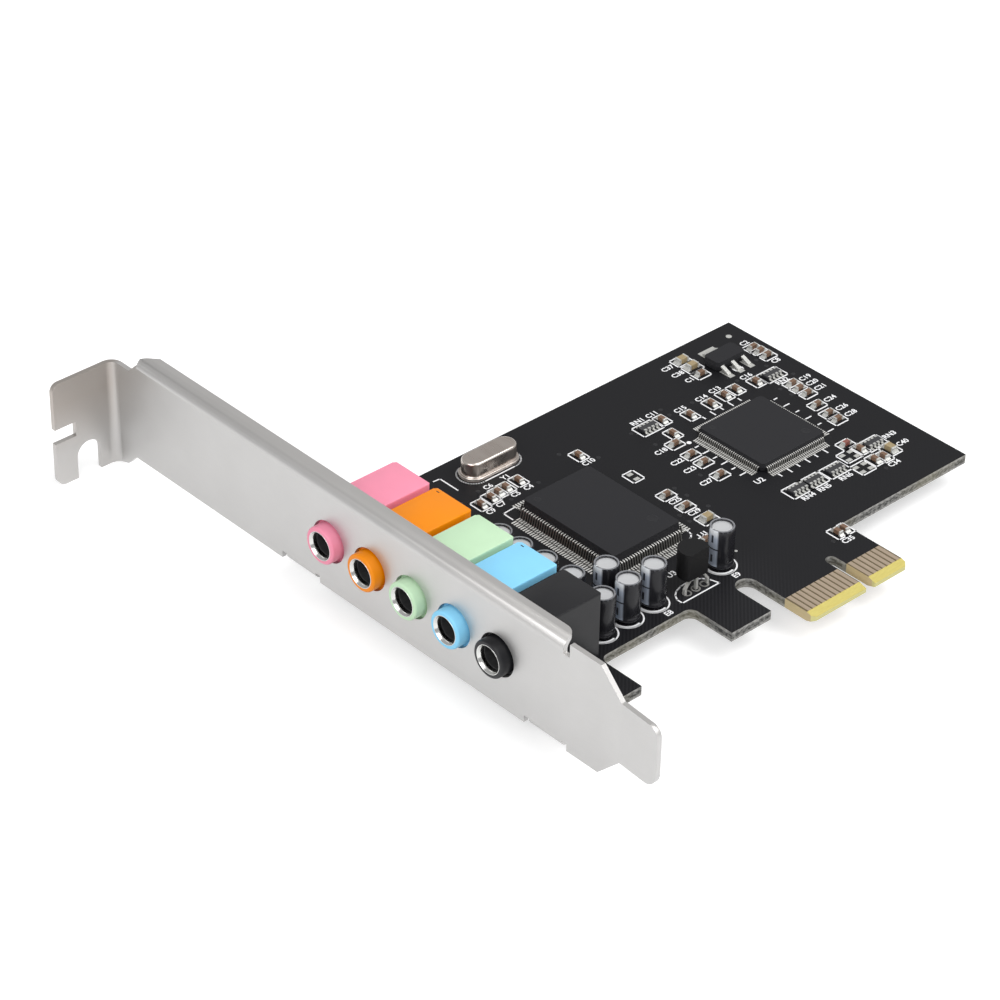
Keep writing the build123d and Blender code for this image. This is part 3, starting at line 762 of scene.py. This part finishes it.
black_case, sockets, place = new_finish("black_case", shade(26, 26, 27),
                                        roughness=0.55, mirror=0.2)
sand = place.noise(8.0, 4.0)
sand.blend(shade(16, 16, 17), shade(27, 27, 28)).feed(sockets["Base Color"])
sand.bump(0.015, 0.5).feed(sockets["Normal"])
dress("regulator_body", black_case, rounding=0.12)
dress("regulator_legs", tin)
dress("power_regulator_body", moulding, rounding=0.08)
dress("power_regulator_leads", tin, rounding=0.03)
dress("power_regulator_tab", tin, rounding=0.03)

dull_tin, sockets, place = new_finish("dull_tin", shade(140, 139, 136),
                                      roughness=0.5, metallic=0.4)
dulled = place.noise(2.4, 3.0)
dulled.blend(shade(112, 111, 108), shade(156, 155, 152)).feed(sockets["Base Color"])
dulled.bump(0.01, 0.3).feed(sockets["Normal"])
hole_pads, joints = Stock(), Stock()
for low, high in islands("regulator_legs"):
    hole_pads.stack([circle(*middle_of(low, high), z, radius, wire_steps)
                     for radius, z in hole_pad_profile], ends="none")
for node, past in solder_past.items():
    for low, high in islands(node):
        joints.box((low[0] + min(past, 0), low[1] - solder_margin, 0.0),
                   (high[0] + max(past, 0), high[1] + solder_margin, solder_height))
add_piece("regulator_hole_pads", hole_pads, dull_tin, "tinned_leads")
add_piece("regulator_solder", joints, tin, "tinned_leads")


# ---- Chip capacitors and resistors -----------------------
# Small fired-ceramic blocks with tinned ends, soldered to pads at both ends. The resistor
# arrays are flat black-glazed blocks with castellated sides.
pale_spots = [(-27.45, -6.3), (-61.1, 21.9), (-58.8, 22.0), (-22.05, 28.35)]
red_spots = [(-27.4, 24.1)]
block_ease, block_lift, block_inset, block_short = 0.08, 0.02, 0.05, 0.1
end_share, foot_margin = 0.36, 0.06
array_ways, array_end, array_reach, array_pad, array_lap = 4, 0.35, 1.8, 0.2, 0.24
array_solder, array_side = 0.06, 0.03


def fired_finish(name, colour, dark, light, roughness, coat=0.0, grain=2.6):
    """A fired ceramic or glass, a little cloudy and uneven."""
    made, sockets, place = new_finish(name, colour, roughness, coat=coat)
    fired = place.noise(grain, 3.0)
    fired.blend(dark, light).feed(sockets["Base Color"])
    fired.bump(0.02, 0.4).feed(sockets["Normal"])
    return made


brown_ceramic = fired_finish("brown_ceramic", shade(134, 108, 88), shade(98, 74, 58),
                             shade(132, 104, 84), roughness=0.5)
pale_ceramic = fired_finish("pale_ceramic", shade(190, 164, 128), shade(142, 126, 94),
                            shade(170, 152, 116), roughness=0.5)
red_glass = fired_finish("red_glass", shade(136, 78, 68), shade(118, 64, 56),
                         shade(148, 90, 80), roughness=0.4, coat=0.2)
glaze = fired_finish("black_glaze", shade(38, 38, 42), shade(32, 32, 36),
                     shade(48, 48, 52), roughness=0.3, coat=0.4, grain=2.0)

block_places = []
brown_blocks, pale_blocks, red_blocks, block_ends = Stock(), Stock(), Stock(), Stock()


def at_one_of(spots, low, high):
    """True where the middle of a block is within a millimetre of one of the spots."""
    return any(math.dist(middle_of(low, high), spot) < 1.0 for spot in spots)


def chip_block(blocks, low, high):
    """One block with its two tinned ends, and the solder that climbs them."""
    half = (high - low) / 2
    long, wide = (x_way, y_way) if half.x > half.y else (y_way, x_way)
    length, width, height = half.dot(long), half.dot(wide), high.z
    ground = (low + high) / 2
    ground.z = 0

    def bar(stock, start, end, inset):
        rings = []
        for at, by in ((start, inset + block_ease), (start + block_ease, inset),
                       (end - block_ease, inset), (end, inset + block_ease)):
            side, top = width - by, height - by
            rings.append([ground + long * at + wide * across + Vector((0, 0, z))
                          for across, z in ((-side, block_lift), (side, block_lift),
                                            (side, top), (-side, top))])
        stock.stack(rings)

    bar(blocks, block_short - length, length - block_short, block_inset)
    for sign in (-1, 1):
        near, far = sorted((sign * length * (1 - end_share), sign * length))
        bar(block_ends, near, far, 0.0)
        foot = [ground + long * sign * d + Vector((0, 0, z)) for d, z in (
            (length - 0.25, 0.0), (length + 0.4, 0.0), (length + 0.4, 0.04),
            (length + 0.16, 0.12), (length - 0.02, 0.42 * height), (length - 0.25, 0.1))]
        block_ends.stack([[point + wide * across for point in foot]
                          for across in (-width - foot_margin, width + foot_margin)])


for node in ("chip_capacitors", "large_chip_capacitors"):
    for low, high in islands(node):
        block_places.append((Vector(low), Vector(high)))
        pale, red = at_one_of(pale_spots, low, high), at_one_of(red_spots, low, high)
        chip_block(red_blocks if red else pale_blocks if pale else brown_blocks,
                   *block_places[-1])
for low, high in islands("resistor_arrays"):
    block_places.append((Vector(low), Vector(high)))
    for step in range(array_ways):
        y = low[1] + (step + 0.5) * (high[1] - low[1]) / array_ways
        for edge, past in ((low[0], -array_end), (high[0], array_end)):
            toe, lap = edge + array_reach * past, edge - past
            block_ends.box((min(edge, toe), y - array_pad, 0.0),
                           (max(edge, toe), y + array_pad, array_solder))
            block_ends.box((edge - array_side, y - array_pad, 0.02),
                           (edge + array_side, y + array_pad, high[2] - 0.05))
            block_ends.box((min(edge, lap), y - array_lap, high[2] - 0.02),
                           (max(edge, lap), y + array_lap, high[2] + 0.012))
add_piece("brown_chip_blocks", brown_blocks, brown_ceramic, "brown_ceramic",
          "chip_capacitors", "large_chip_capacitors")
add_piece("pale_chip_blocks", pale_blocks, pale_ceramic, "brown_ceramic")
add_piece("red_chip_block", red_blocks, red_glass, "brown_ceramic")
add_piece("chip_block_ends", block_ends, tin, "tinned_leads")
dress("resistor_arrays", glaze, rounding=0.04)


# ---- White legend ----------------------------------------
# Epoxy ink, screen printed on the mask: outlines, polarity marks and plain reference
# numbers. It is flat on the board and a little worn.
ink_level, ink_width = 0.012, 0.25
chip_letters, part_letters = 1.15, 1.05
letter_size, letter_swell, letter_turn, letter_pitch = 1.35, 0.035, 90, 0.92
letter_gap, row_gap, north_rows, west_rows = 0.2, 0.3, 24, -55
chip_numbers = [("U1", -25.0, -9.6), ("U2", -29.3, 6.9), ("U3", -20.9, -20.4),
                ("U4", -53.6, 27.2)]
print_west, print_east, print_south, print_north = -64.0, -13.8, -41.5, 35.6
tongue_east, tongue_south, tongue_north = -6.2, -11.5, 7.5
can_room, can_ring, can_crescent, crescent_width = 2.6, 2.5, 2.27, 0.5
chip_rooms = {"audio_chip_body": 3.0, "bridge_chip_body": 4.6}
fitted_room, end_room, side_room, crystal_room = 0.9, 0.6, 0.7, 0.7
crystal_print = 0.3
long_tick, short_tick = 0.55, 0.3
tick_rows = [(-42.2, 6.3, 1.98, 0, 6), (-43.6, 25.3, 2.38, 0, 6),
             (-28.3, 10.4, 0, 2.0, 6), (-47.2, 12.9, 0, 2.0, 5)]
empty_places = [(-26.3, 20.55, -23.5, 24.0), (-22.7, 19.9, -19.8, 23.0),
                (-44.2, -8.0, -41.4, -5.7)]

legend_ink, sockets, place = new_finish("legend_ink", shade(226, 227, 228), roughness=0.6)
worn = place.noise(3.0, 3.0)
worn.blend(shade(226, 227, 229), shade(250, 250, 251)).feed(sockets["Base Color"])
worn.bump(0.01, 0.4).feed(sockets["Normal"])
legend = Stock()
taken = []


def ink_patch(points):
    """A filled outline."""
    first = len(legend.points)
    legend.points += [Vector((x, y, ink_level)) for x, y in points]
    legend.faces.append(range(first, first + len(points)))


def ink_line(*points):
    """A line through points, with square ends."""
    for start, end in zip(points, points[1:]):
        start, end = Vector(start), Vector(end)
        along = (end - start).normalized() * ink_width / 2
        off = Vector((-along.y, along.x))
        ink_patch([start - along - off, end + along - off, end + along + off, start - along + off])


def ink_arc(x, y, radius, start, end, width=ink_width, steps=24):
    """Part of a ring, from one angle to another in degrees."""
    turns = [math.radians(start + (end - start) * step / steps) for step in range(steps + 1)]
    inner, outer = radius - width / 2, radius + width / 2
    for first, second in zip(turns, turns[1:]):
        ink_patch([(x + r * math.cos(turn), y + r * math.sin(turn)) for r, turn in (
            (inner, first), (outer, first), (outer, second), (inner, second))])


def lettering(words, x, y, height):
    """Sets words in the built-in letters, as flat faces of the legend."""
    type_set = bpy.data.curves.new("lettering", "FONT")
    type_set.body, type_set.size, type_set.offset = words, height * letter_size, letter_swell
    type_set.align_x, type_set.align_y, type_set.resolution_u = "CENTER", "CENTER", 2
    set_up = put("lettering", type_set)
    bpy.context.view_layer.update()
    flat_letters = bpy.data.meshes.new_from_object(set_up)
    spin = Matrix.Rotation(math.radians(letter_turn), 2)
    first = len(legend.points)
    for vertex in flat_letters.vertices:
        flat_x, flat_y = spin @ vertex.co.xy + Vector((x, y))
        legend.points.append(Vector((flat_x, flat_y, ink_level)))
    legend.faces += [[first + index for index in face.vertices] for face in flat_letters.polygons]
    bpy.data.objects.remove(set_up)
    bpy.data.curves.remove(type_set)
    bpy.data.meshes.remove(flat_letters)


def grown(low, high, by):
    """The sides of a box seen from above, moved out by so much."""
    return low[0] - by, low[1] - by, high[0] + by, high[1] + by


def has_room(x0, y0, x1, y1):
    """True where nothing printed or fitted lies on that part of the board."""
    on_tongue = tongue_south < y0 and y1 < tongue_north
    on_board = (print_west < x0 and x1 < (tongue_east if on_tongue else print_east)
                and print_south < y0 and y1 < print_north)
    return on_board and all(x1 <= a or c <= x0 or y1 <= b or d <= y0 for a, b, c, d in taken)


def number_part(words, x0, y0, x1, y1, order):
    """Prints a part's number beside its outline, on the first side with room."""
    x, y = (x0 + x1) / 2, (y0 + y1) / 2
    half, tall = len(words) * letter_pitch / 2, part_letters / 2
    sides = {"N": (x, y1 + half + letter_gap), "S": (x, y0 - half - letter_gap),
             "W": (x0 - tall - row_gap, y), "E": (x1 + tall + row_gap, y)}
    for side in order:
        px, py = sides[side]
        label = (px - tall, py - half, px + tall, py + half)
        if has_room(*label):
            lettering(words, px, py, part_letters)
            taken.append(label)
            return


for node, past in chip_rooms.items():
    taken.append(grown(*node_box(node), past))
for node in ("crystal", "regulator_body", "power_regulator_body", "power_regulator_tab",
             "power_regulator_leads"):
    taken.append(grown(*node_box(node), fitted_room))
for x, y in capacitor_places:
    taken.append(grown((x, y), (x, y), can_room))
    ink_arc(x, y, can_ring, 0, 360, steps=40)
    ink_arc(x, y, can_crescent, 190, 375, crescent_width)
outlines = []
for low, high in block_places:
    long_x = high.x - low.x > high.y - low.y
    across, over = (end_room, side_room) if long_x else (side_room, end_room)
    outlines.append((low.x - across, low.y - over, high.x + across, high.y + over))
for x0, y0, x1, y1 in outlines + empty_places:
    taken.append((x0, y0, x1, y1))
    ink_line((x0, y0), (x1, y0), (x1, y1), (x0, y1), (x0, y0))

ring = crystal_ring(-crystal_print, 0)
ink_line(*[point[:2] for point in ring + ring[:1]])
ink_line((-61.9, -30.6), (-61.8, -29.4), (-57.8, -29.4))
ink_line((-48.75, -26.1), (-48.6, -28.4), (-46.6, -28.4))
ink_line((-27.6, -10.75), (-26.9, -10.75), (-26.2, -11.0), (-25.65, -11.6), (-25.5, -12.3))
ink_line((-14.8, -24.2), (-14.8, -16.6))
ink_line((-14.8, -24.2), (-15.9, -24.2), (-16.8, -23.7), (-17.5, -22.8), (-17.9, -21.5),
         (-18.0, -20.2), (-17.8, -18.8), (-17.3, -17.8), (-16.4, -17.1), (-14.8, -16.6))
ink_patch([point[:2] for point in circle(-43.8, 6.2, 0, 0.4, wire_steps)])
for row_x, row_y, pitch_x, pitch_y, count in tick_rows:
    for step in range(count):
        x, y = row_x + pitch_x * step, row_y + pitch_y * step
        tick = long_tick if step % 2 else short_tick
        out_x, out_y = (tick, 0) if pitch_y else (0, tick)
        ink_line((x - out_x, y - out_y), (x + out_x, y + out_y))

for words, x, y in chip_numbers:
    lettering(words, x, y, chip_letters)
    taken.append((x - 0.7, y - 1.2, x + 0.7, y + 1.2))
number_part("Y1", *grown(crystal_low, crystal_high, crystal_room), "NE")
for index, spot in enumerate(capacitor_places):
    number_part(f"E{index + 1}", *grown(spot, spot, can_room), "ENWS")
first_array = len(outlines) - len(islands("resistor_arrays"))
for index, outline in enumerate(outlines):
    if index < first_array:
        in_north, in_west = outline[1] > north_rows, outline[0] < west_rows
        order = "NSEW" if in_north else "SNEW" if in_west else "ENSW"
        number_part(f"C{index + 1}", *outline, order)
    else:
        number_part(f"RN{index + 1 - first_array}", *outline, "EWNS")
add_piece("legend", legend, legend_ink, "solder_mask")


# ---- Vias and bare pads ----------------------------------
# Small plated holes covered by the mask stand up as dots on both faces. The empty places
# for parts not fitted, and two round sighting marks, are bare tinned copper.
via_profile = [(0.38, 0.0), (0.34, 0.02), (0.16, 0.025), (0.1, 0.012)]
via_away, via_room, via_gap, via_steps = 0.9, 0.45, 0.5, 20
bare_side, bare_half_width, bare_half_length, bare_height = 0.75, 0.35, 0.5, 0.03
bare_row, two_rows = 0.9, 3
sighting_marks = [(-61.45, 33.0, 0.5), (-18.8, -9.0, 0.25)]

tented, sockets, place = new_finish("tented_via", shade(34, 34, 37), roughness=0.36, mirror=0.3)
place.noise(4.0).blend(shade(29, 29, 32), shade(40, 40, 43)).feed(sockets["Base Color"])
place.noise(8.0).bump(0.01, 0.3).feed(sockets["Normal"])
vias = Stock()
random.seed(11)
for x0, y0, x1, y1 in outlines:
    for _ in range(2):
        x = random.choice((x0 - via_away, x1 + via_away, random.uniform(x0, x1)))
        y = random.choice((y0 - via_away, y1 + via_away))
        if has_room(*grown((x, y), (x, y), via_room)):
            taken.append(grown((x, y), (x, y), via_gap))
            for level, way in ((0.0, 1), (-board_thickness, -1)):
                vias.stack([circle(x, y, level + way * z, radius, via_steps)
                            for radius, z in via_profile])
add_piece("tented_vias", vias, tented, "solder_mask")

bare_pads = Stock()
for x0, y0, x1, y1 in empty_places:
    x, y = (x0 + x1) / 2, (y0 + y1) / 2
    for pad_x in (x - bare_side, x + bare_side):
        for pad_y in (y - bare_row, y + bare_row) if y1 - y0 > two_rows else (y,):
            bare_pads.box((pad_x - bare_half_width, pad_y - bare_half_length, 0.0),
                          (pad_x + bare_half_width, pad_y + bare_half_length, bare_height))
for x, y, radius in sighting_marks:
    bare_pads.stack([circle(x, y, z, radius - by)
                     for by, z in ((0, 0.0), (0, 0.02), (0.08, 0.035))])
add_piece("bare_pads", bare_pads, tin, "tinned_leads")


# ---- Solder side -----------------------------------------
# The wires of the jacks, capacitors, crystal and standing regulator come through the
# board. Each is cropped short in a bright cone of solder.
can_wire, crystal_wire, jack_pin, jack_pin_rows = 1.0, 2.44, 2.5, (1.6, 6.6)
cone_profile = [(0.85, 0.0), (0.84, 0.04), (0.6, 0.16), (0.42, 0.4), (0.33, 0.7), (0.3, 0.74),
                (0.3, 1.15), (0.22, 1.22)]

wire_places = [(x, y + side) for x, y in capacitor_places for side in (-can_wire, can_wire)]
wire_places += [middle_of(low, high) for low, high in islands("regulator_legs")]
wire_places += [(crystal_x, crystal_y + side) for side in (-crystal_wire, crystal_wire)]
for colour in jack_colours:
    low, high = node_box(colour + "_jack_housing")
    x, _ = middle_of(low, high)
    wire_places += [(x + side, high.y - row) for row in jack_pin_rows
                    for side in (-jack_pin, jack_pin)]
cones = Stock()
for x, y in wire_places:
    cones.stack([circle(x, y, -board_thickness - z, radius, wire_steps)
                 for radius, z in cone_profile])
add_piece("solder_cones", cones, tin, "tinned_leads")
